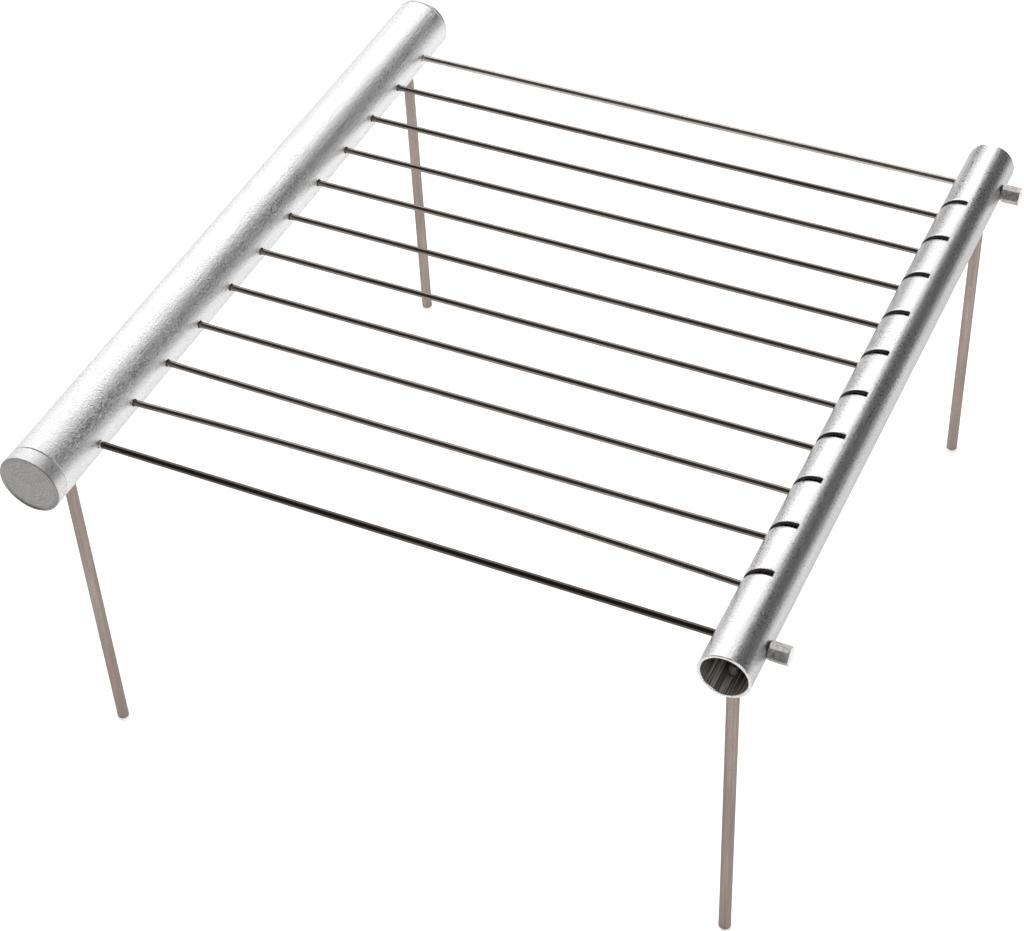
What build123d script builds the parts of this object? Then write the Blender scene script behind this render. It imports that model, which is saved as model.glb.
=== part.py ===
from build123d import *
import os
from math import sqrt

# Collapsible pocket grill. Twelve rods lie between a wide tube and a narrow
# tube, and four screwed legs hold the tubes up. Taken apart, the rods and legs
# slide into the narrow tube, and that slides into the wide tube, whose screw
# cap closes it. All sizes are in millimetres.
# The frame: +Z up, X across the two tubes, Y along them. The origin is the
# middle of the footprint on the ground. "near" is the -Y end, with the cap.

# ---- the cooking surface ----
rod_count = 12
rod_pitch = 17.8
rod_plane_height = 110.4          # rod axes above the ground
tube_spacing = 193.0              # from one tube's axis to the other's

# ---- wide outer tube ----
outer_tube_diameter = 18.2
outer_tube_wall = 1.0
outer_tube_overhang = 16.1        # past the axis of the outermost rod, each end

# ---- narrow inner tube ----
inner_tube_diameter = 14.2
inner_tube_wall = 0.9
inner_tube_overhang = 12.4
slot_reach = 1.3                  # each slot's square end, past the tube's axis

# ---- rods ----
grill_rod_diameter = 1.8
tie_rod_diameter = 2.0
tie_thread_diameter = 1.5         # both ends of a tie rod
tie_neck = 0.9                    # thread that shows outside the outer tube
tie_thread_reach = 2.5            # thread inside the outer tube's bore
grill_rod_reach_outer = 4.0       # rod past the outer tube's axis
rod_end_chamfer = 0.25

# ---- legs ----
leg_diameter = 3.4
leg_stud_diameter = 2.6
leg_stud_length = 4.0
leg_offset = 5.2                  # leg axis outside the outermost rod's axis
leg_foot_chamfer = 0.35
leg_shoulder_chamfer = 0.2

# ---- screw cap, end plug and nuts ----
cap_head = 4.8
cap_thread_length = 3.0
cap_thread_wall = 1.3
cap_face_recess = 0.12
cap_face_rim = 0.5
edge_break = 0.2                  # small chamfer on turned edges
plug_flange = 1.4
plug_depth = 3.0
plug_wall = 0.8
nut_width = 4.7                   # across the flats
nut_length = 5.5
nut_end_wall = 1.2
nut_chamfer = 0.35

# ---- fits ----
rod_hole_clearance = 0.25         # radial, a rod in its hole in the outer tube
slot_side_clearance = 0.10        # a rod in its slot, each side
slot_floor_clearance = 0.10       # under a rod in its slot
rod_tip_gap = 0.6                 # from a rod's tip to its slot's square end
nut_bottom_gap = 0.10             # from a tie rod's tip to the nut's closed end
running_clearance = 0.05          # radial, threads shown as plain cylinders
countersink = 0.5                 # round the threaded holes for the tie rods
seat_gap = 0.05                   # between a flat shoulder and a round tube
rim_break = 0.12                  # deburred edges of the tube ends

# ---- worked out from the sizes above ----
outer_radius = outer_tube_diameter / 2
outer_bore = outer_radius - outer_tube_wall
inner_radius = inner_tube_diameter / 2
inner_bore = inner_radius - inner_tube_wall
grill_rod_radius = grill_rod_diameter / 2
tie_rod_radius = tie_rod_diameter / 2
tie_thread_radius = tie_thread_diameter / 2
leg_stud_radius = leg_stud_diameter / 2

row_length = rod_pitch * (rod_count - 1)
outer_tube_length = row_length + 2 * outer_tube_overhang
inner_tube_length = row_length + 2 * inner_tube_overhang
overall_width = outer_radius + tube_spacing + inner_radius + seat_gap + nut_length
outer_x = outer_radius - overall_width / 2
inner_x = outer_x + tube_spacing
middle_y = (cap_head - plug_flange) / 2
tube_near_y = middle_y - outer_tube_length / 2
tube_far_y = middle_y + outer_tube_length / 2
rod_z = rod_plane_height
rod_ys = [middle_y - row_length / 2 + rod_pitch * i for i in range(rod_count)]
tie_ys = {"near": rod_ys[0], "far": rod_ys[-1]}
grill_ys = rod_ys[1:-1]
leg_ys = {"near": rod_ys[0] - leg_offset, "far": rod_ys[-1] + leg_offset}
legs_at = {"left": (outer_x, outer_radius), "right": (inner_x, inner_radius)}


def rod_along(axis, start, length, radius):
    """A plain cylinder from start, length long, along one of the axes."""
    return Plane(origin=start, z_dir=axis) * Cylinder(
        radius, length, align=(Align.CENTER, Align.CENTER, Align.MIN)
    )


def cone_along(axis, start, length, radius_start, radius_end):
    """A cut cone from start, length long, along one of the axes."""
    return Plane(origin=start, z_dir=axis) * Cone(
        radius_start, radius_end, length, align=(Align.CENTER, Align.CENTER, Align.MIN)
    )


def end_rims(shape, axis):
    """The round edges at both ends of a turned piece along one axis."""
    flats = shape.faces().filter_by(GeomType.PLANE).filter_by(axis)
    ends = [flats.sort_by(axis)[0], flats.sort_by(axis)[-1]]
    return [edge for face in ends for edge in face.edges()]


def plain_tube(x, start_y, length, radius, bore):
    """A drawn tube along +Y with deburred rims."""
    tube = rod_along((0, 1, 0), (x, start_y, rod_z), length, radius)
    tube -= rod_along((0, 1, 0), (x, start_y, rod_z), length, bore)
    return chamfer(end_rims(tube, Axis.Y), rim_break)


def leg_hole(x, y, radius):
    """The hole for a leg's stud through a tube's underside."""
    return rod_along((0, 0, -1), (x, y, rod_z), radius + 1, leg_stud_radius + running_clearance)


def make_outer_tube():
    """Wide tube: a row of rod holes inwards, two leg holes underneath."""
    tube = plain_tube(outer_x, tube_near_y, outer_tube_length, outer_radius, outer_bore)
    hole_radius = grill_rod_radius + rod_hole_clearance
    for y in grill_ys:
        tube -= rod_along((1, 0, 0), (outer_x, y, rod_z), outer_radius + 1, hole_radius)
    for y in tie_ys.values():
        tube -= rod_along((1, 0, 0), (outer_x, y, rod_z), outer_radius + 1, tie_thread_radius)
        sink_start = (outer_x + outer_radius - countersink, y, rod_z)
        tube -= cone_along(
            (1, 0, 0), sink_start, 2 * countersink, tie_thread_radius, tie_thread_radius + 2 * countersink
        )
    for y in leg_ys.values():
        tube -= leg_hole(outer_x, y, outer_radius)
    return tube


def make_inner_tube():
    """Narrow tube: a saw slot over the top for each loose rod, and the tie holes."""
    start_y = middle_y - inner_tube_length / 2
    tube = plain_tube(inner_x, start_y, inner_tube_length, inner_radius, inner_bore)
    slot_width = grill_rod_diameter + 2 * slot_side_clearance
    slot_floor = rod_z - grill_rod_radius - slot_floor_clearance
    slot_end = inner_x + slot_reach
    slot_start = inner_x - inner_radius - 1
    slot_top = rod_z + inner_radius + 1
    for y in grill_ys:
        slot = Box(
            slot_end - slot_start, slot_width, slot_top - slot_floor,
            align=(Align.MIN, Align.CENTER, Align.MIN),
        )
        tube -= Pos(slot_start, y, slot_floor) * slot
    for y in tie_ys.values():
        through = (inner_x - inner_radius - 1, y, rod_z)
        hole_radius = tie_thread_radius + running_clearance
        tube -= rod_along((1, 0, 0), through, inner_tube_diameter + 2, hole_radius)
    for y in leg_ys.values():
        tube -= leg_hole(inner_x, y, inner_radius)
    return tube


def make_screw_cap():
    """Turned cap: a head as wide as the tube, and a hollow threaded skirt."""
    face_y = tube_near_y - cap_head
    head = rod_along((0, 1, 0), (outer_x, face_y, rod_z), cap_head - seat_gap, outer_radius)
    head = chamfer(end_rims(head, Axis.Y), edge_break)
    recess_radius = outer_radius - edge_break - cap_face_rim
    head -= rod_along((0, 1, 0), (outer_x, face_y, rod_z), cap_face_recess, recess_radius)
    skirt_radius = outer_bore - running_clearance
    skirt_start = (outer_x, tube_near_y - seat_gap, rod_z)
    skirt = rod_along((0, 1, 0), skirt_start, cap_thread_length + seat_gap, skirt_radius)
    cap = head + skirt
    hollow_start = (outer_x, tube_near_y - cap_head / 2, rod_z)
    hollow_length = cap_head / 2 + cap_thread_length
    return cap - rod_along((0, 1, 0), hollow_start, hollow_length, skirt_radius - cap_thread_wall)


def make_end_plug():
    """Pressed plug: a thin flange and a hollow skirt in the tube's far end."""
    flange = rod_along((0, 1, 0), (outer_x, tube_far_y, rod_z), plug_flange, outer_radius)
    flange = chamfer(end_rims(flange, Axis.Y), edge_break)
    skirt_start = (outer_x, tube_far_y - plug_depth, rod_z)
    skirt = rod_along((0, 1, 0), skirt_start, plug_depth, outer_bore)
    return flange + skirt - rod_along((0, 1, 0), skirt_start, plug_depth, outer_bore - plug_wall)


def make_grill_rod(y):
    """Loose rod: through a hole in the outer tube, laid in a slot of the inner one."""
    start = outer_x - grill_rod_reach_outer
    end = inner_x + slot_reach - rod_tip_gap
    rod = rod_along((1, 0, 0), (start, y, rod_z), end - start, grill_rod_radius)
    return chamfer(end_rims(rod, Axis.X), rod_end_chamfer)


def make_tie_rod(y):
    """Tie rod: screwed into the outer tube, and through the inner one to a nut."""
    shank_start = outer_x + outer_radius + tie_neck
    shank_end = inner_x - inner_radius - seat_gap
    shank = rod_along((1, 0, 0), (shank_start, y, rod_z), shank_end - shank_start, tie_rod_radius)
    shank = chamfer(end_rims(shank, Axis.X), rod_end_chamfer)
    thread_start = outer_x + outer_bore - tie_thread_reach
    thread_end = inner_x + inner_radius + seat_gap + nut_length - nut_end_wall - nut_bottom_gap
    thread = rod_along(
        (1, 0, 0), (thread_start, y, rod_z), thread_end - thread_start, tie_thread_radius
    )
    return shank + thread


def make_leg(x, y, tube_radius):
    """Leg: a straight rod with a stud on top that screws into a tube."""
    top = rod_z - tube_radius - seat_gap
    leg = rod_along((0, 0, 1), (x, y, 0), top, leg_diameter / 2)
    rims = end_rims(leg, Axis.Z)
    leg = chamfer([rims[0]], leg_foot_chamfer)
    leg = chamfer([end_rims(leg, Axis.Z)[-1]], leg_shoulder_chamfer)
    stud = rod_along((0, 0, 1), (x, y, top), leg_stud_length, leg_stud_radius)
    return leg + stud


def make_nut(y):
    """Closed hexagonal nut on the end of a tie rod."""
    start = inner_x + inner_radius + seat_gap
    outline = RegularPolygon(nut_width / 2, 6, major_radius=False)
    nut = extrude(Plane(origin=(start, y, rod_z), x_dir=(0, 1, 0), z_dir=(1, 0, 0)) * outline, nut_length)
    corner_radius = nut_width / sqrt(3)
    turned = rod_along((1, 0, 0), (start, y, rod_z), nut_length, corner_radius)
    turned = chamfer(end_rims(turned, Axis.X), nut_chamfer)
    nut = nut & turned
    bore_length = nut_length - nut_end_wall
    return nut - rod_along(
        (1, 0, 0), (start, y, rod_z), bore_length, tie_thread_radius + running_clearance
    )


pieces = {
    "outer_tube": make_outer_tube(),
    "inner_tube": make_inner_tube(),
    "screw_cap": make_screw_cap(),
    "end_plug": make_end_plug(),
}
for i, y in enumerate(grill_ys, start=1):
    pieces[f"grill_rod_{i:02d}"] = make_grill_rod(y)
for end, y in tie_ys.items():
    pieces[f"tie_rod_{end}"] = make_tie_rod(y)
    pieces[f"tie_nut_{end}"] = make_nut(y)
for side, (x, tube_radius) in legs_at.items():
    for end, y in leg_ys.items():
        pieces[f"leg_{end}_{side}"] = make_leg(x, y, tube_radius)

os.makedirs("parts", exist_ok=True)
for node, piece in pieces.items():
    export_step(piece, f"parts/{node}.step")
    print(node, round(piece.volume, 1), "mm3")
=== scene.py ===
# %% [markdown]
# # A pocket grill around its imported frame
# The frame brings every steel piece at its true size and place. This lesson then
# models finer versions of those pieces, with real threads, broken edges and
# drilled holes, and gives each one the finish that its making leaves on it.

# %% Load the frame
import math

import bpy
from mathutils import Matrix, Vector


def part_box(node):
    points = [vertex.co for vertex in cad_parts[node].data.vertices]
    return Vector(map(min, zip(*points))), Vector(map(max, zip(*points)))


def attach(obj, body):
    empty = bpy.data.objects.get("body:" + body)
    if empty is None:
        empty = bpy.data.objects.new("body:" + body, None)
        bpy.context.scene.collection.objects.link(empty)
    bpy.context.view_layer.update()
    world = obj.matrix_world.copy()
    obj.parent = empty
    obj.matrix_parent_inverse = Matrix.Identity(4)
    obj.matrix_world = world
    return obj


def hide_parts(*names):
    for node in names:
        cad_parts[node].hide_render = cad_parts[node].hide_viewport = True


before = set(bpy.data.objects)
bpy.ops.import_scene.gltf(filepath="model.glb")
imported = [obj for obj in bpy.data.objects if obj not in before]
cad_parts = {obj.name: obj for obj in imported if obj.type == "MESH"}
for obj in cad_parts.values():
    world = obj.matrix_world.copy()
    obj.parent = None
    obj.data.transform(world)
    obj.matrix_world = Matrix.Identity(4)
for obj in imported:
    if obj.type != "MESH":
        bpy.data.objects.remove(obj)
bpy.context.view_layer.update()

MM = 0.001
print("nodes in the frame:", len(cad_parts))

# %% [markdown]
# ## Measures
# Every place comes from the boxes of the frame's nodes. The axis of a tube or a
# rod is the middle of its box, and its radius is half of the box's height.

# %% Read the measures
WIDE_WALL = 1.0 * MM
NARROW_WALL = 0.9 * MM


def middle(node):
    """The middle of a node's box."""
    low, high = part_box(node)
    return (low + high) / 2


def size(node):
    """The three sides of a node's box."""
    low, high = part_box(node)
    return high - low


wide_axis = middle("outer_tube")
narrow_axis = middle("inner_tube")
wide_radius = size("outer_tube").z / 2
narrow_radius = size("inner_tube").z / 2
wide_bore = wide_radius - WIDE_WALL
narrow_bore = narrow_radius - NARROW_WALL
rod_radius = size("grill_rod_01").y / 2
tie_radius = size("tie_rod_near").y / 2
loose_rods = [f"grill_rod_{number:02d}" for number in range(1, 11)]
rod_places = [middle(rod).y for rod in loose_rods]
rod_pitch = rod_places[1] - rod_places[0]
tie_places = {"near": middle("tie_rod_near").y, "far": middle("tie_rod_far").y}
rod_height = wide_axis.z
grate_x = (wide_axis.x + narrow_axis.x) / 2
grate_y = (rod_places[0] + rod_places[-1]) / 2
grate_middle = Vector((grate_x, grate_y, rod_height))
print(f"rod pitch {rod_pitch / MM:.1f} mm, rods {rod_height / MM:.1f} mm above the ground")

# %% [markdown]
# ## Camera
# A product like this is taken from above its near right corner with a short
# telephoto lens, which keeps the two tubes almost parallel. The camera stands on
# a sphere round the middle of the grate, and leans a little to one side.

# %% Place the camera
camera_azimuth = 27.02      # degrees from +Y towards -X, the way that it looks
camera_elevation = 43.71    # degrees above the horizon
camera_roll = -3.15
camera_distance = 0.6772
camera_target = grate_middle + Vector((3.2, -33.0, -32.3)) * MM     # low enough to see the feet

turn = math.radians(camera_azimuth)
lift = math.radians(camera_elevation)
looking = Vector((-math.sin(turn) * math.cos(lift), math.cos(turn) * math.cos(lift), -math.sin(lift)))
camera_data = bpy.data.cameras.new("studio_camera")
camera_data.lens = 84.1
camera_data.sensor_width = 36.0
camera_data.sensor_fit = "HORIZONTAL"
camera_data.clip_start = 0.01
camera = bpy.data.objects.new("studio_camera", camera_data)
bpy.context.collection.objects.link(camera)
level = looking.to_track_quat("-Z", "Y").to_matrix().to_4x4()
leaning = Matrix.Rotation(math.radians(camera_roll), 4, "Z")
camera.matrix_world = Matrix.Translation(camera_target - looking * camera_distance) @ level @ leaning
bpy.context.scene.camera = camera
print("camera at", [round(value, 3) for value in camera.matrix_world.translation])

# %% [markdown]
# ## Node helper
# One function adds any node, for the room and for every finish. It gives back one
# output of the node, so that calls can be nested.

# %% Add nodes and turn hex codes to colours
def add_node(tree, kind, inputs=(), output=0, **settings):
    """Adds a node. Its inputs are values, or outputs that feed them, in order or by name."""
    node = tree.nodes.new("ShaderNode" + kind)
    for name, value in settings.items():
        setattr(node, name, value)
    for socket, value in inputs.items() if isinstance(inputs, dict) else enumerate(inputs):
        if isinstance(value, bpy.types.NodeSocket):
            tree.links.new(value, node.inputs[socket])
        else:
            node.inputs[socket].default_value = value
    return node.outputs[output]


def linear(hex_code, share=1.0):
    """The linear colour of an sRGB hex code, made darker or lighter by a share."""
    steps = [int(hex_code[i:i + 2], 16) / 255 for i in (1, 3, 5)]
    values = [c / 12.92 if c <= 0.04045 else ((c + 0.055) / 1.055) ** 2.4 for c in steps]
    return [min(value * share, 1.0) for value in values] + [1.0]


print("white is", linear("#FFFFFF"))

# %% [markdown]
# ## Studio
# Steel shows what surrounds it. A large softbox behind and above the grill gives
# the long white stripes on the tubes, and one on the left carries them down to
# the left edge. The unlit room low on the right gives the dark stripe and the
# dark rods. A card on the near right lifts the right sides of the nuts and legs,
# and a dim one on the near left lights the tubes when they are seen from behind.

# %% Hang the softboxes
def softbox(name, place, width, height, power):
    """A flat lamp that faces the middle of the grate."""
    data = bpy.data.lights.new(name, "AREA")
    data.shape = "RECTANGLE"
    data.size = width
    data.size_y = height
    data.energy = power
    lamp = bpy.data.objects.new(name, data)
    bpy.context.collection.objects.link(lamp)
    place = Vector(place)
    facing = (grate_middle - place).to_track_quat("-Z", "Y").to_matrix().to_4x4()
    lamp.matrix_world = Matrix.Translation(place) @ facing
    print(name, "at", tuple(place), "with", power, "W")


softbox("back_softbox", (-0.42, 1.15, 1.25), 1.7, 1.2, 15.0)
softbox("left_softbox", (-1.25, 0.55, 0.55), 1.3, 1.0, 6.2)
softbox("near_right_card", (1.25, -1.0, 0.95), 1.1, 0.9, 8.5)
softbox("near_left_card", (-1.5, -0.75, 0.5), 0.9, 0.8, 2.0)

# %% [markdown]
# ## White sweep
# The floor is a sheet of matt white paper, level with the leg ends. A broad, soft
# light from straight above burns it out to plain white, and is hidden from
# reflections, so that the steel still mirrors a dark room. The room itself is dim,
# but shows white behind the paper's edge.

# %% Lay the paper and light it
PAPER_SIDE = 2.4            # metres
SKY_SPREAD = 120            # degrees, as soft as an overcast sky
ROOM_STRENGTH = 0.13        # what the steel mirrors
WHITE_STRENGTH = 1.2        # what shows behind the paper
bpy.ops.object.select_all(action="DESELECT")
bpy.ops.mesh.primitive_plane_add(size=PAPER_SIDE, location=(0, 0, 0))
floor = bpy.context.object
floor.name = "paper_floor"
paper = bpy.data.materials.new("matt_white_paper")
paper.use_nodes = True
paper_shader = paper.node_tree.nodes["Principled BSDF"]
paper_shader.inputs["Base Color"].default_value = linear("#F6F6F6")
paper_shader.inputs["Roughness"].default_value = 0.9
floor.data.materials.append(paper)

sky_data = bpy.data.lights.new("sky_light", "SUN")
sky_data.energy = 3.0
sky_data.angle = math.radians(SKY_SPREAD)
sky_light = bpy.data.objects.new("sky_light", sky_data)
bpy.context.collection.objects.link(sky_light)
sky_light.visible_glossy = False

world = bpy.data.worlds.new("studio_room")
bpy.context.scene.world = world
world.use_nodes = True
room = world.node_tree
room_light = room.nodes["Background"]
room_light.inputs["Color"].default_value = linear("#F6F6F6")
seen = add_node(room, "LightPath", output="Is Camera Ray")
strength = add_node(room, "MapRange", (seen, 0.0, 1.0, ROOM_STRENGTH, WHITE_STRENGTH))
room.links.new(strength, room_light.inputs["Strength"])
bpy.context.scene.view_settings.view_transform = "Standard"
print("paper floor", round(floor.dimensions.x, 2), "m wide")

# %% [markdown]
# ## Workshop
# The real pieces are turned, drilled, threaded and cut from bar and tube, so they
# are made here in the same way. First come the small jobs that every piece needs:
# opening it in edit mode, turning it to lie along its axis, and copying it.

# %% Open, place and copy a piece
def clear_selection():
    """Leaves edit mode and selects nothing."""
    if bpy.context.object and bpy.context.object.mode != "OBJECT":
        bpy.ops.object.mode_set(mode="OBJECT")
    bpy.ops.object.select_all(action="DESELECT")


def select_only(piece):
    """Selects one piece in object mode."""
    clear_selection()
    piece.select_set(True)
    bpy.context.view_layer.objects.active = piece


def start_edit(piece):
    """Opens one piece in edit mode with all of it selected."""
    select_only(piece)
    bpy.ops.object.mode_set(mode="EDIT")
    bpy.ops.mesh.select_all(action="SELECT")


def place_along(piece, start, along):
    """Turns a piece made on +Z to lie along an axis from start, and fixes it there."""
    bpy.ops.object.mode_set(mode="OBJECT")
    facing = Vector(along).to_track_quat("Z", "Y").to_matrix().to_4x4()
    piece.matrix_world = Matrix.Translation(start) @ facing
    select_only(piece)
    bpy.ops.object.transform_apply(location=True, rotation=True, scale=True)
    return piece


def copy_of(piece, name, move):
    """A copy with its own mesh, moved."""
    select_only(piece)
    bpy.ops.object.duplicate(linked=False)
    copy = bpy.context.object
    copy.name = copy.data.name = name
    copy.location = move
    bpy.ops.object.transform_apply(location=True, rotation=True, scale=True)
    return copy


# %% [markdown]
# ## Turning
# A lathe cuts a round piece to an outline. Here half of the outline is drawn as a
# chain of edges, extruded one after the other, and spun once round the axis. The
# doubled seam is merged and the normals are turned outwards.

# %% Turn a piece
SIDES = 64
FINE_SIDES = 96
TUBE_SIDES = 128
TOUCHING = 0.001 * MM       # points nearer than this are one point


def edge_chain(name, outline):
    """A new mesh with one chain of edges through (radius, distance along +Z) points."""
    clear_selection()
    bpy.ops.mesh.primitive_plane_add(size=1 * MM, location=(0, 0, 0))
    piece = bpy.context.object
    piece.name = piece.data.name = name
    start_edit(piece)
    bpy.ops.mesh.merge(type="CENTER")
    bpy.ops.transform.translate(value=(outline[0][0], 0, outline[0][1]))
    for before, after in zip(outline, outline[1:]):
        step = (after[0] - before[0], 0, after[1] - before[1])
        bpy.ops.mesh.extrude_region_move(TRANSFORM_OT_translate={"value": step})
    return piece


def turned(name, outline, start, along, sides=SIDES):
    """A turned piece: its half outline spun once round the axis."""
    piece = edge_chain(name, outline)
    bpy.ops.mesh.select_all(action="SELECT")
    bpy.ops.mesh.spin(steps=sides, angle=2 * math.pi, center=(0, 0, 0), axis=(0, 0, 1))
    bpy.ops.mesh.select_all(action="SELECT")
    bpy.ops.mesh.remove_doubles(threshold=TOUCHING)
    bpy.ops.mesh.normals_make_consistent(inside=False)
    return place_along(piece, start, along)


def rounded_end(radius, place, chamfer, inward):
    """Outline points of a round end, from the axis out: flat, then a broken edge."""
    return [(0, place), (radius - chamfer, place), (radius, place + inward * chamfer)]


def plain_bar(name, start, along, length, radius, chamfer, sides=SIDES):
    """A round bar with a broken edge at both ends."""
    outline = rounded_end(radius, 0, chamfer, 1) + rounded_end(radius, length, chamfer, -1)[::-1]
    return turned(name, outline, start, along, sides)


print("turned pieces have", SIDES, "sides unless they need more")

# %% [markdown]
# ## Cutting and drilling
# A drill or a saw is a mesh of its own, and a Boolean modifier takes it away from
# the piece. The same modifier joins two pieces or trims one with another.

# %% Cut, join and drill
DRILL_SIDES = 40
DRILL_CHAMFER = 0.01 * MM


def combine(piece, other, operation):
    """Adds, cuts or trims with another mesh, which is used up."""
    modifier = piece.modifiers.new(operation, "BOOLEAN")
    modifier.operation = operation
    modifier.solver = "EXACT"
    modifier.object = other
    clear_selection()
    bpy.context.view_layer.objects.active = piece
    bpy.ops.object.modifier_apply(modifier=modifier.name)
    bpy.data.meshes.remove(other.data)
    return piece


def drill(piece, start, along, length, radius, sides=DRILL_SIDES):
    """Drills one plain round hole."""
    bit = plain_bar("drill", start, along, length, radius, DRILL_CHAMFER, sides)
    return combine(piece, bit, "DIFFERENCE")


print("drills have", DRILL_SIDES, "sides")

# %% [markdown]
# ## Threads
# A thread is rolled or cut as one winding ridge. A short outline of the ridge is
# wound up by the Screw modifier, closed at both ends, and trimmed by a turned
# blank, which also gives the bar its chamfers.

# %% Wind a thread
ROOT_DEPTH = 0.6            # share of the pitch, a little less than a full thread
SPARE_TURNS = 3             # cut off again by the blank
CREST_TRIM = 0.995          # the blank is this much of the ridge's radius


def threaded_bar(name, start, along, length, radius, pitch, sides=32):
    """A screw thread of that outside radius, with both ends chamfered."""
    root = radius - ROOT_DEPTH * pitch
    ridge = [(root, 0), (root, 0.12 * pitch), (radius, 0.47 * pitch), (radius, 0.62 * pitch), (root, pitch)]
    piece = edge_chain(name, ridge)
    bpy.ops.object.mode_set(mode="OBJECT")
    winding = piece.modifiers.new("winding", "SCREW")
    winding.screw_offset = pitch
    winding.steps = winding.render_steps = sides
    winding.iterations = math.ceil(length / pitch) + SPARE_TURNS
    winding.use_merge_vertices = True
    winding.merge_threshold = TOUCHING
    bpy.ops.object.modifier_apply(modifier=winding.name)
    start_edit(piece)
    bpy.ops.mesh.remove_doubles(threshold=TOUCHING)
    bpy.ops.mesh.select_all(action="DESELECT")
    bpy.ops.mesh.select_non_manifold()
    bpy.ops.mesh.fill_holes(sides=0)
    bpy.ops.mesh.select_all(action="DESELECT")
    bpy.ops.mesh.select_face_by_sides(number=4, type="GREATER")
    bpy.ops.mesh.poke()
    bpy.ops.mesh.select_all(action="SELECT")
    bpy.ops.mesh.normals_make_consistent(inside=False)
    bpy.ops.transform.translate(value=(0, 0, -1.3 * pitch))
    place_along(piece, start, along)
    blank = plain_bar("blank", start, along, length, radius * CREST_TRIM, 0.7 * pitch, sides)
    return combine(piece, blank, "INTERSECT")


print("a thread's ridge is", ROOT_DEPTH, "of its pitch high")

# %% [markdown]
# ## Broken edges
# No edge of a finished steel piece is sharp. After the cutting, slivers are merged
# away and a small bevel breaks the edges. Weighted normals keep the flat faces
# flat and the round ones even beside the holes.

# %% Finish the edges
SLIVER = 0.002 * MM         # drilling leaves edges shorter than this
DEBURRED = 0.06 * MM
ROUND_BELOW = 35            # degrees between two faces of one round surface
NORMAL_WEIGHT = 100


def finish_edges(piece, width=0.0, angle=ROUND_BELOW):
    """Cleans up after the drilling, breaks the sharp edges, and smooths the round faces."""
    start_edit(piece)
    bpy.ops.mesh.remove_doubles(threshold=SLIVER)
    bpy.ops.mesh.dissolve_degenerate(threshold=SLIVER)
    bpy.ops.object.mode_set(mode="OBJECT")
    if width:
        breaking = piece.modifiers.new("broken_edges", "BEVEL")
        breaking.width = width
        breaking.segments = 2
        breaking.limit_method = "ANGLE"
        breaking.angle_limit = math.radians(angle)
        bpy.ops.object.modifier_apply(modifier=breaking.name)
    bpy.ops.object.shade_smooth_by_angle(angle=math.radians(angle))
    evening = piece.modifiers.new("even_normals", "WEIGHTED_NORMAL")
    evening.keep_sharp = True
    evening.weight = NORMAL_WEIGHT
    bpy.ops.object.modifier_apply(modifier=evening.name)
    print(piece.name, "has", len(piece.data.polygons), "faces")
    return piece


print("edges are broken by", DEBURRED / MM, "mm")

# %% [markdown]
# ## Tubes
# Both tubes are drawn stainless tube, cut to length and deburred. The wall is
# turned as a closed outline, so the bore and both rims are real. Rings of edges
# beside each hole keep the drilling from pulling long faces out of shape.

# %% Draw the two tubes
X_AXIS, Y_AXIS, Z_AXIS = Vector((1, 0, 0)), Vector((0, 1, 0)), Vector((0, 0, 1))
RIM = 0.15 * MM
RING_GAP = 1.9 * MM         # from the middle of a hole to the rings of edges beside it


def drawn_tube(name, node, radius, bore, cuts):
    """A tube as long as its node, with rings of edges at the cuts along it."""
    low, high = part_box(node)
    length = high.y - low.y
    outline = [
        (bore, RIM), (bore + RIM, 0), (radius - RIM, 0), (radius, RIM),
        (radius, length - RIM), (radius - RIM, length), (bore + RIM, length), (bore, length - RIM),
        (bore, RIM),
    ]
    start = Vector((middle(node).x, low.y, rod_height))
    piece = turned(name, outline, start, Y_AXIS, TUBE_SIDES)
    start_edit(piece)
    for cut in cuts:
        bpy.ops.mesh.select_all(action="SELECT")
        bpy.ops.mesh.bisect(plane_co=(0, cut, 0), plane_no=Y_AXIS)
    bpy.ops.object.mode_set(mode="OBJECT")
    return piece


leg_places = {"near": middle("leg_near_left").y, "far": middle("leg_far_left").y}
all_holes = rod_places + list(tie_places.values()) + list(leg_places.values())
rings = sorted(place + side * RING_GAP for place in all_holes for side in (-1, 1))
outer_tube = drawn_tube("wide_tube", "outer_tube", wide_radius, wide_bore, rings)
inner_tube = drawn_tube("narrow_tube", "inner_tube", narrow_radius, narrow_bore, rings)
print("drew both tubes with", len(rings), "rings of edges")

# %% [markdown]
# ## Holes in the wide tube
# Each loose rod has a plain hole a little wider than itself. The two tie rods
# screw into small threaded holes with a countersink, whose walls carry painted
# shade, and show as a dark ring round the bright thread. Each leg has one hole underneath.

# %% Drill the wide tube
HOLE_PLAY = 0.25 * MM
CLEARANCE = 0.05 * MM
INSIDE = 3 * MM             # a drill starts this far from the tube's axis
hole_radius = rod_radius + HOLE_PLAY
tie_thread = 0.75 * MM
sink = 0.5 * MM
leg_stud = 1.3 * MM
face_x = wide_axis.x + wide_radius

for place in rod_places:
    drill(outer_tube, Vector((wide_axis.x + INSIDE, place, rod_height)), X_AXIS, wide_radius, hole_radius)
cone = [(0, -sink), (tie_thread, -sink), (tie_thread + 2 * sink, sink), (0, sink)]
for place in tie_places.values():
    drill(outer_tube, Vector((wide_axis.x + INSIDE, place, rod_height)), X_AXIS, wide_radius, tie_thread)
    countersink = turned("countersink", cone, Vector((face_x, place, rod_height)), X_AXIS, DRILL_SIDES)
    combine(outer_tube, countersink, "DIFFERENCE")
for place in leg_places.values():
    under = Vector((wide_axis.x, place, rod_height - INSIDE))
    drill(outer_tube, under, -Z_AXIS, wide_radius, leg_stud + CLEARANCE)
finish_edges(outer_tube, DEBURRED)

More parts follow.
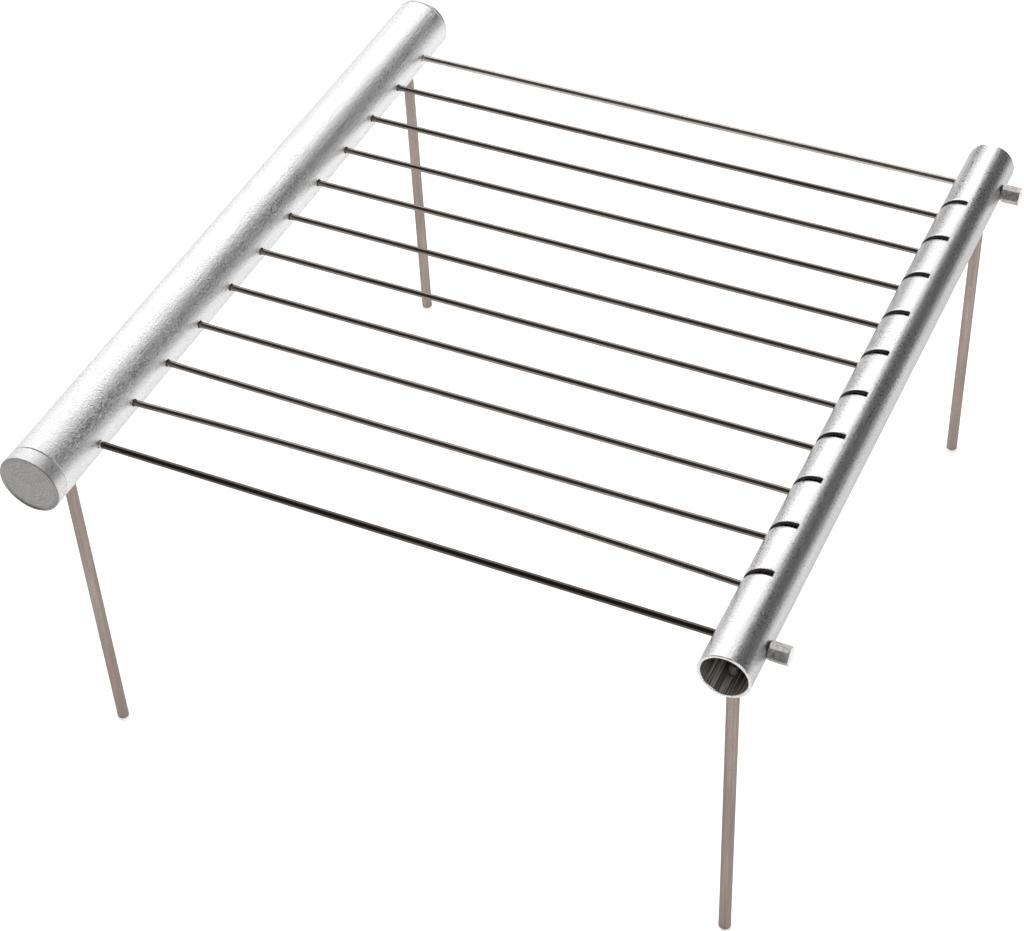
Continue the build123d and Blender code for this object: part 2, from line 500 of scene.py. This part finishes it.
# %% [markdown]
# ## Slots in the narrow tube
# Ten saw cuts run from the rods up over the top of the narrow tube and end
# square. A rod drops in from above and rests on the floor of its slot. The tie
# rods go straight through plain holes in both walls.

# %% Cut the narrow tube
SLOT_PLAY = 0.1 * MM        # beside and below a rod
SLOT_REACH = 1.3 * MM       # past the top of the tube
SAW_OVERRUN = 1 * MM        # the saw and the drill start and end outside the tube
slot_width = 2 * (rod_radius + SLOT_PLAY)
slot_floor = rod_height - rod_radius - SLOT_PLAY
slot_end = narrow_axis.x + SLOT_REACH
slot_start = narrow_axis.x - narrow_radius - SAW_OVERRUN
slot_top = rod_height + narrow_radius + SAW_OVERRUN

for place in rod_places:
    clear_selection()
    centre = ((slot_start + slot_end) / 2, place, (slot_floor + slot_top) / 2)
    bpy.ops.mesh.primitive_cube_add(size=1.0, location=centre)
    saw = bpy.context.object
    saw.scale = (slot_end - slot_start, slot_width, slot_top - slot_floor)
    bpy.ops.object.transform_apply(location=True, rotation=True, scale=True)
    combine(inner_tube, saw, "DIFFERENCE")
for place in tie_places.values():
    side = Vector((slot_start, place, rod_height))
    drill(inner_tube, side, X_AXIS, 2 * (narrow_radius + SAW_OVERRUN), tie_thread + CLEARANCE)
for place in leg_places.values():
    under = Vector((narrow_axis.x, place, rod_height - INSIDE))
    drill(inner_tube, under, -Z_AXIS, narrow_radius, leg_stud + CLEARANCE)
finish_edges(inner_tube, DEBURRED)

# %% [markdown]
# ## Rods
# The loose rods are cut from one coil of straightened wire, with both ends
# ground to a small chamfer. One is turned and the others are copies of it.

# %% Cut the loose rods
WIRE_SIDES = 40
ROD_CHAMFER = 0.25 * MM
low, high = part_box("grill_rod_01")
rod_start = Vector((low.x, rod_places[0], rod_height))
first_rod = plain_bar("rod_01", rod_start, X_AXIS, high.x - low.x, rod_radius, ROD_CHAMFER, WIRE_SIDES)
finish_edges(first_rod)
rods = {"grill_rod_01": first_rod}
for number, (node, place) in enumerate(zip(loose_rods[1:], rod_places[1:]), start=2):
    rods[node] = copy_of(first_rod, f"rod_{number:02d}", (0, place - rod_places[0], 0))
print(len(rods), "loose rods")

# %% [markdown]
# ## Bowed rods
# Straightened wire is never quite straight. The two loose rods nearest the cap
# are bowed a little between the tubes. The rings of edges are moved with a
# falloff that fades to nothing at the tubes, so both ends stay in their holes.

# %% Bow two rods
RINGS_ON_A_ROD = 16
ON_RING = 0.01 * MM
NEAR_BOW = 1.9 * MM
NEXT_BOW = -0.5 * MM
tube_gap = (wide_axis.x + wide_radius, narrow_axis.x - narrow_radius)
gap_middle = sum(tube_gap) / 2
gap_half = (tube_gap[1] - tube_gap[0]) / 2


def bow(rod, amount):
    """Bends a rod sideways by an amount at the middle of the gap between the tubes."""
    start_edit(rod)
    for ring in range(RINGS_ON_A_ROD + 1):
        x = tube_gap[0] + 2 * gap_half * ring / RINGS_ON_A_ROD
        bpy.ops.mesh.select_all(action="SELECT")
        bpy.ops.mesh.bisect(plane_co=(x, 0, 0), plane_no=X_AXIS)
    bpy.ops.mesh.select_all(action="DESELECT")
    bpy.ops.object.mode_set(mode="OBJECT")
    for vertex in rod.data.vertices:
        vertex.select = abs(vertex.co.x - gap_middle) < ON_RING
    bpy.ops.object.mode_set(mode="EDIT")
    bpy.ops.transform.translate(
        value=(0, amount, 0), use_proportional_edit=True,
        proportional_edit_falloff="INVERSE_SQUARE", proportional_size=gap_half,
    )
    bpy.ops.object.mode_set(mode="OBJECT")
    finish_edges(rod)
    print(rod.name, "now", [round(side / MM, 2) for side in rod.dimensions], "mm")


bow(rods["grill_rod_01"], NEAR_BOW)
bow(rods["grill_rod_02"], NEXT_BOW)

# %% [markdown]
# ## Tie rods
# A tie rod is the same kind of wire, a little thicker, with a fine thread rolled
# on both ends. The short neck of thread shows where it enters the wide tube.

# %% Make the tie rods
FINE_PITCH = 0.35 * MM
TIE_CHAMFER = 0.2 * MM
NECK = 0.6 * MM
OVERLAP = 0.3 * MM          # a thread reaches this far into the bar it stands on
low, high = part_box("tie_rod_near")
shank_start = wide_axis.x + wide_radius + NECK
shank_end = narrow_axis.x - narrow_radius - CLEARANCE
shank_length = shank_end - shank_start


def tie_rod_point(x):
    """A point on the near tie rod's axis."""
    return Vector((x, tie_places["near"], rod_height))


near_tie = plain_bar(
    "near_tie_rod", tie_rod_point(shank_start), X_AXIS, shank_length, tie_radius, TIE_CHAMFER, WIRE_SIDES
)
for name, start, end in (
    ("left_thread", low.x, shank_start + OVERLAP),
    ("right_thread", shank_end - OVERLAP, high.x),
):
    thread = threaded_bar(name, tie_rod_point(start), X_AXIS, end - start, tie_thread, FINE_PITCH)
    combine(near_tie, thread, "UNION")
finish_edges(near_tie)
far_tie = copy_of(near_tie, "far_tie_rod", (0, tie_places["far"] - tie_places["near"], 0))

# %% [markdown]
# ## Nuts
# Each nut is cut from hexagonal bar. Its corners are turned off at a slant at
# both ends, and the hole for the thread is blind, so its outer face is closed.

# %% Make the nuts
NUT_CHAMFER = 0.35 * MM
NUT_EDGE = 0.05 * MM
NUT_WALL = 1.2 * MM         # closed end, outside the blind hole
FLAT_BELOW = 25             # degrees, so that the chamfer stays apart from the flats
low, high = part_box("tie_nut_near")
nut_flats = high.z - low.z
nut_corners = nut_flats / math.cos(math.radians(30))
nut_length = high.x - low.x
clear_selection()
bpy.ops.mesh.primitive_cylinder_add(
    vertices=6, radius=nut_corners / 2, depth=nut_length,
    location=(low.x + nut_length / 2, tie_places["near"], rod_height), rotation=(0, math.pi / 2, 0),
)
near_nut = bpy.context.object
near_nut.name = near_nut.data.name = "near_nut"
bpy.ops.object.transform_apply(location=True, rotation=True, scale=True)
print("nut", [round(side / MM, 2) for side in near_nut.dimensions], "mm")
blank = plain_bar("blank", tie_rod_point(low.x), X_AXIS, nut_length, nut_corners / 2, NUT_CHAMFER, FINE_SIDES)
combine(near_nut, blank, "INTERSECT")
hole_depth = nut_length - NUT_WALL
hole_start = tie_rod_point(low.x - SAW_OVERRUN)
drill(near_nut, hole_start, X_AXIS, hole_depth + SAW_OVERRUN, tie_thread + CLEARANCE)
finish_edges(near_nut, NUT_EDGE, FLAT_BELOW)
far_nut = copy_of(near_nut, "far_nut", (0, tie_places["far"] - tie_places["near"], 0))

# %% [markdown]
# ## Legs
# A leg is straight wire with a turned stud on top. The stud is threaded and
# screws into the tube until the leg's shoulder meets it. The foot is cut flat
# and chamfered so that it doesn't scratch a table.

# %% Make the legs
LEG_PITCH = 0.45 * MM
FOOT_CHAMFER = 0.35 * MM
SHOULDER_CHAMFER = 0.2 * MM
LEG_SIDES = 48
leg_radius = size("leg_near_left").x / 2


def make_leg(name, node, tube_radius):
    """One leg: the shank from the ground to the tube, and the stud above it."""
    low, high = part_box(node)
    axis = middle(node)
    shoulder = rod_height - tube_radius - CLEARANCE
    foot_end = rounded_end(leg_radius, 0, FOOT_CHAMFER, 1)
    outline = foot_end + rounded_end(leg_radius, shoulder, SHOULDER_CHAMFER, -1)[::-1]
    leg = turned(name, outline, Vector((axis.x, axis.y, 0)), Z_AXIS, LEG_SIDES)
    stud_start = Vector((axis.x, axis.y, shoulder - OVERLAP))
    stud = threaded_bar("stud", stud_start, Z_AXIS, high.z - stud_start.z, leg_stud, LEG_PITCH)
    return finish_edges(combine(leg, stud, "UNION"))


along_tube = (0, leg_places["far"] - leg_places["near"], 0)
legs = {"leg_near_left": make_leg("near_left_leg", "leg_near_left", wide_radius)}
legs["leg_near_right"] = make_leg("near_right_leg", "leg_near_right", narrow_radius)
legs["leg_far_left"] = copy_of(legs["leg_near_left"], "far_left_leg", along_tube)
legs["leg_far_right"] = copy_of(legs["leg_near_right"], "far_right_leg", along_tube)

# %% [markdown]
# ## Cap
# The cap is turned from bar: a head as wide as the tube with a shallow face
# inside a thin rim, and a hollow threaded skirt.

# %% Turn the cap
CAP_PITCH = 0.75 * MM
CAP_RECESS = 0.25 * MM
CAP_ROUNDING = 0.25 * MM
ROUNDING_INSET = 0.06 * MM  # of the rounding's middle from the sharp corner
CAP_LIP = 0.55 * MM
CAP_CHAMFER = 0.2 * MM
CAP_END = 2.4 * MM          # solid steel behind the face
SKIRT_WALL = 1.35 * MM
SKIRT_BORE_DEPTH = 9 * MM
low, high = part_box("screw_cap")
tube_low, tube_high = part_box("outer_tube")
head = tube_low.y - CLEARANCE - low.y
lip = wide_radius - CAP_LIP
cap_outline = [
    (0, CAP_RECESS), (lip - CAP_RECESS, CAP_RECESS), (lip, 0), (wide_radius - CAP_ROUNDING, 0),
    (wide_radius - ROUNDING_INSET, ROUNDING_INSET), (wide_radius, CAP_ROUNDING),
    (wide_radius, head - CAP_CHAMFER), (wide_radius - CAP_CHAMFER, head), (0, head),
]
face_centre = Vector((wide_axis.x, low.y, rod_height))
screw_cap = turned("screw_cap_turned", cap_outline, face_centre, Y_AXIS, TUBE_SIDES)
skirt_start = face_centre + Y_AXIS * (head - OVERLAP)
skirt_radius = wide_bore - CLEARANCE
skirt_length = high.y - skirt_start.y
skirt = threaded_bar("skirt", skirt_start, Y_AXIS, skirt_length, skirt_radius, CAP_PITCH, FINE_SIDES)
combine(screw_cap, skirt, "UNION")
bore_start = face_centre + Y_AXIS * CAP_END
drill(screw_cap, bore_start, Y_AXIS, SKIRT_BORE_DEPTH, wide_bore - SKIRT_WALL, FINE_SIDES)
finish_edges(screw_cap)

# %% [markdown]
# ## Plug
# The plug closes the far end of the wide tube for good. It is turned with a thin
# flange and a thin pressed skirt, and its broken edge shows as a faint seam.

# %% Turn the plug
PLUG_CHAMFER = 0.2 * MM
PLUG_WALL = 0.8 * MM
low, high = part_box("end_plug")
flange = high.y - tube_high.y
depth = tube_high.y - low.y
plug_outline = [
    (0, 0), (wide_radius - PLUG_CHAMFER, 0), (wide_radius, PLUG_CHAMFER),
    (wide_radius, flange - PLUG_CHAMFER), (wide_radius - PLUG_CHAMFER, flange), (wide_bore, flange),
    (wide_bore, flange + depth), (wide_bore - PLUG_WALL, flange + depth), (wide_bore - PLUG_WALL, flange),
    (0, flange),
]
plug_face = Vector((wide_axis.x, high.y, rod_height))
end_plug = turned("pressed_plug", plug_outline, plug_face, -Y_AXIS, TUBE_SIDES)
finish_edges(end_plug)

# %% [markdown]
# ## Finishes
# Everything is stainless steel, and what tells the pieces apart is how each one
# was worked. Each finish reads Object coordinates, turned into millimetres from
# the middle of its piece, so every grain and ring has its real size. The dark
# edge tint is what steel shows where one looks along its surface.

# %% A bare steel, and its measured coordinates
EDGE_TINT = "#C6C6C6"
SOFT_NOISE = 0.6        # roughness of every noise


def new_steel(name, colour, roughness):
    """A bare steel: the base colour is what the polished metal reflects."""
    material = bpy.data.materials.new(name)
    material.use_nodes = True
    tree = material.node_tree
    shader = tree.nodes["Principled BSDF"]
    shader.inputs["Metallic"].default_value = 1.0
    shader.inputs["Base Color"].default_value = linear(colour)
    shader.inputs["Roughness"].default_value = roughness
    shader.inputs["Specular Tint"].default_value = linear(EDGE_TINT)
    return material, tree, shader


def measured(tree, centre):
    """Coordinates in millimetres from a centre."""
    coords = add_node(tree, "TexCoord", output="Object")
    inputs = {"Vector": coords, "Location": tuple(-centre / MM), "Scale": (1 / MM, 1 / MM, 1 / MM)}
    return add_node(tree, "Mapping", inputs)


def grain(tree, place, grain_size, stretch=(1, 1, 1), detail=3.0):
    """Noise with grains of that size in millimetres, drawn out along an axis by its stretch."""
    drawn = add_node(tree, "Mapping", {"Vector": place, "Scale": tuple(1 / value for value in stretch)})
    inputs = {"Vector": drawn, "Scale": 1 / grain_size, "Detail": detail, "Roughness": SOFT_NOISE}
    return add_node(tree, "TexNoise", inputs)


def from_axis(tree, place, axis):
    """The distance from an axis of the piece, in millimetres."""
    across = tuple(0 if part else 1 for part in axis)
    flat = add_node(tree, "VectorMath", (place, across), operation="MULTIPLY")
    return add_node(tree, "VectorMath", (flat,), "Value", operation="LENGTH")


print("edges of the steel reflect", round(linear(EDGE_TINT)[0], 2), "as much as plain metal")

# %% [markdown]
# ## Satin drawn tube
# Drawn stainless tube, blasted with fine grit and then wiped with a soft pad. To
# the eye it is a pale grey satin with a tiny sparkle of grains about half a
# millimetre across, faint lines along the tube, slow clouds where the pad
# pressed harder, and bright rims where the edges were broken. The bore keeps the
# dull streaks of drawing, and the walls of the drilled holes and slots get a painted shade, darker still.

# %% Satin tube steel
GRIT = 0.5              # millimetres: real grit is finer, and would not show
LINE = 0.4
CLOUD = 14.0
# Deeper than the skin lie the bore, which was not blasted, and the hole walls, which carry painted shade.
SKIN = 0.12             # all that lies deeper than this below the outside was not blasted


def satin_tube_steel(name, node, radius, bore, colour, roughness, sparkle, bump):
    """The finish of one tube. The node gives its middle and its length."""
    material, tree, shader = new_steel(name, colour, roughness)
    place = measured(tree, middle(node))
    grit = grain(tree, place, GRIT, detail=2.0)
    lines = grain(tree, place, LINE, (1, 40, 1))
    clouds = grain(tree, place, CLOUD, (1, 3, 1), 2.0)
    skin = radius / MM - SKIN
    away = from_axis(tree, place, Y_AXIS)
    below_skin = add_node(tree, "MapRange", (away, skin - 0.08, skin, 1.0, 0.0))
    painted_hole_shade = add_node(tree, "MapRange", (away, bore / MM + 0.05, bore / MM + 0.15, 0.0, 1.0))
    along = add_node(tree, "SeparateXYZ", (place,), "Y")
    half = size(node).y / 2 / MM
    from_middle = add_node(tree, "Math", (along,), operation="ABSOLUTE")
    not_rim = add_node(tree, "MapRange", (from_middle, half - 0.3, half - 0.2, 1.0, 0.0))
    inside = add_node(tree, "Math", (below_skin, not_rim), operation="MULTIPLY")

    speck = add_node(tree, "MapRange", (grit, 0.3, 0.7, 0.0, 1.0))
    cloud = add_node(tree, "MapRange", (clouds, 0.3, 0.7, 0.0, 0.35))
    line = add_node(tree, "MapRange", (lines, 0.45, 0.75, 0.0, 1.0))
    speckled = {0: speck, 6: linear(colour, 0.66), 7: linear(colour, 1.2)}
    speckled = add_node(tree, "Mix", speckled, 2, data_type="RGBA")
    clouded = add_node(tree, "Mix", {0: cloud, 6: speckled, 7: linear(colour, 0.85)}, 2, data_type="RGBA")
    streaks = {0: line, 6: linear("#5E5955"), 7: linear("#E6E0DA")}
    streaks = add_node(tree, "Mix", streaks, 2, data_type="RGBA")
    # The walls of the holes and slots take #57524E: painted shade inside them.
    bore_streaks_and_hole_shade = add_node(tree, "Mix", {0: painted_hole_shade, 6: streaks, 7: linear("#57524E")}, 2, data_type="RGBA")
    skin_colour = add_node(tree, "Mix", {0: inside, 6: clouded, 7: bore_streaks_and_hole_shade}, 2, data_type="RGBA")
    tree.links.new(skin_colour, shader.inputs["Base Color"])
    tree.links.new(add_node(tree, "MapRange", (inside, 0.0, 1.0, 1.0, 0.6)), shader.inputs["Metallic"])

    rough = roughness
    for mask, low, high, start, end in (
        (grit, -sparkle, sparkle, 0.35, 0.65),
        (clouds, -0.03, 0.03, 0.3, 0.7),
        (lines, -0.03, 0.03, 0.3, 0.7),
        (inside, 0.0, 0.1, 0.0, 1.0),
        (not_rim, -0.14, 0.0, 0.0, 1.0),
    ):
        change = add_node(tree, "MapRange", (mask, start, end, low, high))
        rough = add_node(tree, "Math", (rough, change))
    tree.links.new(rough, shader.inputs["Roughness"])
    height = add_node(tree, "Math", (lines, 0.5, grit), operation="MULTIPLY_ADD")
    raised = add_node(tree, "Bump", {"Height": height, "Strength": 1.0, "Distance": bump})
    tree.links.new(raised, shader.inputs["Normal"])
    print(name, "made")
    return material


wide_steel = satin_tube_steel(
    "satin_stainless_wide_tube", "outer_tube", wide_radius, wide_bore, "#ECECEC", 0.46, 0.18, 0.13 * MM
)
narrow_steel = satin_tube_steel(
    "satin_stainless_narrow_tube", "inner_tube", narrow_radius, narrow_bore, "#D0D0D1", 0.34, 0.08, 0.07 * MM
)

# %% [markdown]
# ## Turned cap steel
# The cap and the plug are turned on a lathe. The tool leaves fine rings on the
# flat face, which looks flat grey beside the brighter blasted side.

# %% Turned steel
FINE_RINGS = 0.45       # millimetres, coarser than the real tool marks so that they show
BROAD_RINGS = 1.15
FACE_DEPTH = 0.05       # millimetres that still count as the flat face
TOOL_MARKS = 0.05 * MM
TURNED_SIDE = "#E0E0E0"
TURNED_ROUGHNESS = 0.46


def turned_rings(tree, radius, spacing):
    """Rings from 0 to 1 at a spacing in millimetres."""
    turns = add_node(tree, "Math", (radius, 2 * math.pi / spacing), operation="MULTIPLY")
    wave = add_node(tree, "Math", (turns,), operation="SINE")
    return add_node(tree, "MapRange", (wave, -1.0, 1.0, 0.0, 1.0))


def turned_steel(name, face_middle, recess, colour, face_colour, roughness):
    """A turned piece with rings on its flat face, which lies within the recess depth of its end."""
    material, tree, shader = new_steel(name, colour, roughness)
    place = measured(tree, face_middle)
    grit = grain(tree, place, GRIT, detail=2.0)
    patches = grain(tree, place, 3.0)
    wander = add_node(tree, "MapRange", (grit, 0.3, 0.7, -0.1, 0.1))
    uneven = add_node(tree, "Math", (from_axis(tree, place, Y_AXIS), wander))
    fine = turned_rings(tree, uneven, FINE_RINGS)
    broad = turned_rings(tree, uneven, BROAD_RINGS)
    depth = add_node(tree, "SeparateXYZ", (place,), "Y")
    depth = add_node(tree, "Math", (depth,), operation="ABSOLUTE")
    on_face = add_node(tree, "MapRange", (depth, recess, recess + 0.05, 1.0, 0.0))

    speck = add_node(tree, "MapRange", (grit, 0.3, 0.7, 0.0, 1.0))
    pit = add_node(tree, "MapRange", (grit, 0.3, 0.7, 0.6, 0.0))
    patch = add_node(tree, "MapRange", (patches, 0.4, 0.7, 0.0, 0.5))
    side = {0: speck, 6: linear(colour, 0.75), 7: linear(colour, 1.1)}
    side = add_node(tree, "Mix", side, 2, data_type="RGBA")
    ringed = {0: broad, 6: linear(face_colour, 0.92), 7: linear(face_colour, 1.12)}
    ringed = add_node(tree, "Mix", ringed, 2, data_type="RGBA")
    worn = add_node(tree, "Mix", {0: patch, 6: ringed, 7: linear(face_colour, 1.3)}, 2, data_type="RGBA")
    pitted = add_node(tree, "Mix", {0: pit, 6: worn, 7: linear(face_colour, 0.5)}, 2, data_type="RGBA")
    all_over = add_node(tree, "Mix", {0: on_face, 6: side, 7: pitted}, 2, data_type="RGBA")
    tree.links.new(all_over, shader.inputs["Base Color"])
    rough = add_node(tree, "MapRange", (grit, 0.3, 0.7, roughness - 0.06, roughness + 0.06))
    ring_rough = add_node(tree, "MapRange", (fine, 0.0, 1.0, -0.04, 0.04))
    tree.links.new(add_node(tree, "Math", (rough, ring_rough)), shader.inputs["Roughness"])
    tool_marks = add_node(tree, "Math", (fine, on_face), operation="MULTIPLY")
    height = add_node(tree, "Math", (tool_marks, 0.3, grit), operation="MULTIPLY_ADD")
    raised = add_node(tree, "Bump", {"Height": height, "Strength": 1.0, "Distance": TOOL_MARKS})
    tree.links.new(raised, shader.inputs["Normal"])
    print(name, "made")
    return material


cap_steel = turned_steel(
    "turned_cap_steel", face_centre, CAP_RECESS / MM + FACE_DEPTH, TURNED_SIDE, "#989695", TURNED_ROUGHNESS
)
plug_steel = turned_steel(
    "turned_plug_steel", plug_face, FACE_DEPTH, TURNED_SIDE, "#A5A3A2", TURNED_ROUGHNESS
)

# %% [markdown]
# ## Drawn wire
# Rods and legs are hard drawn spring wire. The die leaves fine lines along the
# wire. The rods are drawn bright, and mirror the dark room in a deep brown grey.
# The tie rods are one wire: the near one has painted shade, the far one painted light.
# The legs are thicker, softer wire with a dry matt skin and a warm tint.

# %% Drawn wire steel
DIE_LINE = 0.5          # millimetres: real die lines are finer
RUBBED = 5.0
SPECK = 0.4
BRIGHT_BUMP = 0.010 * MM
MATT_BUMP = 0.03 * MM
WORKED_END = 0.3 * MM


def drawn_wire_steel(name, centre, axis, skin, worked, colour, worn_colour, roughness, bump):
    """Wire with die lines along it, rubbed paler in places, and bright where its ends were worked."""
    material, tree, shader = new_steel(name, colour, roughness)
    place = measured(tree, centre)
    die_lines = grain(tree, place, DIE_LINE, tuple(1 + 60 * abs(part) for part in axis))
    rubbed = grain(tree, place, RUBBED, tuple(1 + 6 * abs(part) for part in axis), 4.0)
    specks = grain(tree, place, SPECK)
    along = add_node(tree, "VectorMath", (place, tuple(axis)), "Value", operation="DOT_PRODUCT")
    from_middle = add_node(tree, "Math", (along,), operation="ABSOLUTE")
    worked_end = add_node(tree, "MapRange", (from_middle, skin / MM - 0.05, skin / MM + 0.05, 0.0, 1.0))

    paler = add_node(tree, "MapRange", (rubbed, 0.35, 0.75, 0.0, 1.0))
    dark_speck = add_node(tree, "MapRange", (specks, 0.3, 0.55, 0.6, 0.0))
    dark_line = add_node(tree, "MapRange", (die_lines, 0.35, 0.6, 0.75, 0.0))
    tone = add_node(tree, "Mix", {0: paler, 6: linear(colour), 7: linear(worn_colour)}, 2, data_type="RGBA")
    tone = add_node(tree, "Mix", {0: dark_speck, 6: tone, 7: linear(colour, 0.7)}, 2, data_type="RGBA")
    tone = add_node(tree, "Mix", {0: dark_line, 6: tone, 7: linear(colour, 0.7)}, 2, data_type="RGBA")
    tone = add_node(tree, "Mix", {0: worked_end, 6: tone, 7: linear(worked)}, 2, data_type="RGBA")
    tree.links.new(tone, shader.inputs["Base Color"])
    rough = roughness
    for mask, low, high, start, end in (
        (die_lines, -0.06, 0.06, 0.3, 0.7),
        (rubbed, 0.03, -0.03, 0.3, 0.7),
        (worked_end, 0.0, 0.08, 0.0, 1.0),
    ):
        change = add_node(tree, "MapRange", (mask, start, end, low, high))
        rough = add_node(tree, "Math", (rough, change))
    tree.links.new(rough, shader.inputs["Roughness"])
    height = add_node(tree, "Math", (specks, 0.3, die_lines), operation="MULTIPLY_ADD")
    raised = add_node(tree, "Bump", {"Height": height, "Strength": 1.0, "Distance": bump})
    tree.links.new(raised, shader.inputs["Normal"])
    print(name, "made")
    return material


rod_skin = size("grill_rod_01").x / 2 - WORKED_END
rod_steel = drawn_wire_steel(
    "bright_drawn_rod_wire", middle("grill_rod_01"), X_AXIS, rod_skin, "#BDB8B3", "#7F7771", "#958D86",
    0.15, BRIGHT_BUMP,
)
tie_middle = Vector(((shank_start + shank_end) / 2, 0, rod_height))
tie_skin = shank_length / 2
# The near tie rod's dark colours are painted shade; it is the same wire as the far one.
near_tie_painted_shade_steel = drawn_wire_steel(
    "near_tie_wire_painted_shade", tie_middle, X_AXIS, tie_skin, "#CFC8C1", "#544D47", "#69615B", 0.16, BRIGHT_BUMP
)
# The far tie rod's pale colours are painted light on the same wire.
far_tie_painted_light_steel = drawn_wire_steel(
    "far_tie_wire_painted_light", tie_middle, X_AXIS, tie_skin, "#D6D1CC", "#B0A8A1", "#C4BCB5", 0.24, BRIGHT_BUMP
)
leg_middle = middle("leg_near_left")
leg_skin = leg_middle.z - FOOT_CHAMFER
leg_steel = drawn_wire_steel(
    "matt_drawn_leg_wire", leg_middle, Z_AXIS, leg_skin, "#BBB4AF", "#93867F", "#A69B94", 0.42, MATT_BUMP
)

# %% [markdown]
# ## Bright nut
# The nuts are cut from bright hexagonal bar and faced off on a lathe. The flats
# have a fine grain along the bar, and the end is paler and drier.

# %% Bright nut steel
NUT_ROUGHNESS = 0.5
BAR_LINE = 0.35         # millimetres
HANDLING = 0.9
BAR_BUMP = 0.05 * MM

nut_steel, tree, shader = new_steel("bright_hexagon_bar", "#B3B0AE", NUT_ROUGHNESS)
nut_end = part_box("tie_nut_near")[1].x
place = measured(tree, Vector((nut_end, 0, rod_height)))
bar_lines = grain(tree, place, BAR_LINE, (20, 1, 1))
handling = grain(tree, place, HANDLING)
depth = add_node(tree, "SeparateXYZ", (place,), "X")
on_end = add_node(tree, "MapRange", (depth, -0.15, -0.05, 0.0, 1.0))
handled = add_node(tree, "MapRange", (handling, 0.3, 0.7, 0.0, 1.0))
flats = add_node(tree, "Mix", {0: handled, 6: linear("#8E8B89"), 7: linear("#CCC9C7")}, 2, data_type="RGBA")
faced = add_node(tree, "Mix", {0: on_end, 6: flats, 7: linear("#ECEAE8")}, 2, data_type="RGBA")
tree.links.new(faced, shader.inputs["Base Color"])
tree.links.new(add_node(tree, "MapRange", (on_end, 0.0, 1.0, 1.0, 0.6)), shader.inputs["Metallic"])
line_rough = add_node(tree, "MapRange", (bar_lines, 0.3, 0.7, NUT_ROUGHNESS - 0.06, NUT_ROUGHNESS + 0.06))
hand_rough = add_node(tree, "MapRange", (handling, 0.3, 0.7, -0.05, 0.05))
tree.links.new(add_node(tree, "Math", (line_rough, hand_rough)), shader.inputs["Roughness"])
height = add_node(tree, "Math", (bar_lines, handling))
raised = add_node(tree, "Bump", {"Height": height, "Strength": 1.0, "Distance": BAR_BUMP})
tree.links.new(raised, shader.inputs["Normal"])
print(nut_steel.name, "made")

# %% [markdown]
# ## Pieces on their bodies
# Each piece rides on the body that moves it, hides the plain node that it stands
# for, and takes its finish. The tie rods and the plug belong to the wide tube,
# and everything else that unscrews or lifts out has its own body.

# %% Put the pieces on their bodies
def fit(piece, material, body, node):
    """Paints a piece, lets it ride on its body and stand for its node."""
    piece.data.materials.clear()
    piece.data.materials.append(material)
    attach(piece, body)
    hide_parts(node)


fit(outer_tube, wide_steel, "outer_frame", "outer_tube")
fit(end_plug, plug_steel, "outer_frame", "end_plug")
fit(screw_cap, cap_steel, "screw_cap", "screw_cap")
fit(inner_tube, narrow_steel, "inner_frame", "inner_tube")
fit(near_tie, near_tie_painted_shade_steel, "outer_frame", "tie_rod_near")
fit(far_tie, far_tie_painted_light_steel, "outer_frame", "tie_rod_far")
fit(near_nut, nut_steel, "tie_nut_near", "tie_nut_near")
fit(far_nut, nut_steel, "tie_nut_far", "tie_nut_far")
for node, rod in rods.items():
    fit(rod, rod_steel, node, node)
for node, leg in legs.items():
    fit(leg, leg_steel, node, node)
print("pieces fitted:", 8 + len(rods) + len(legs))
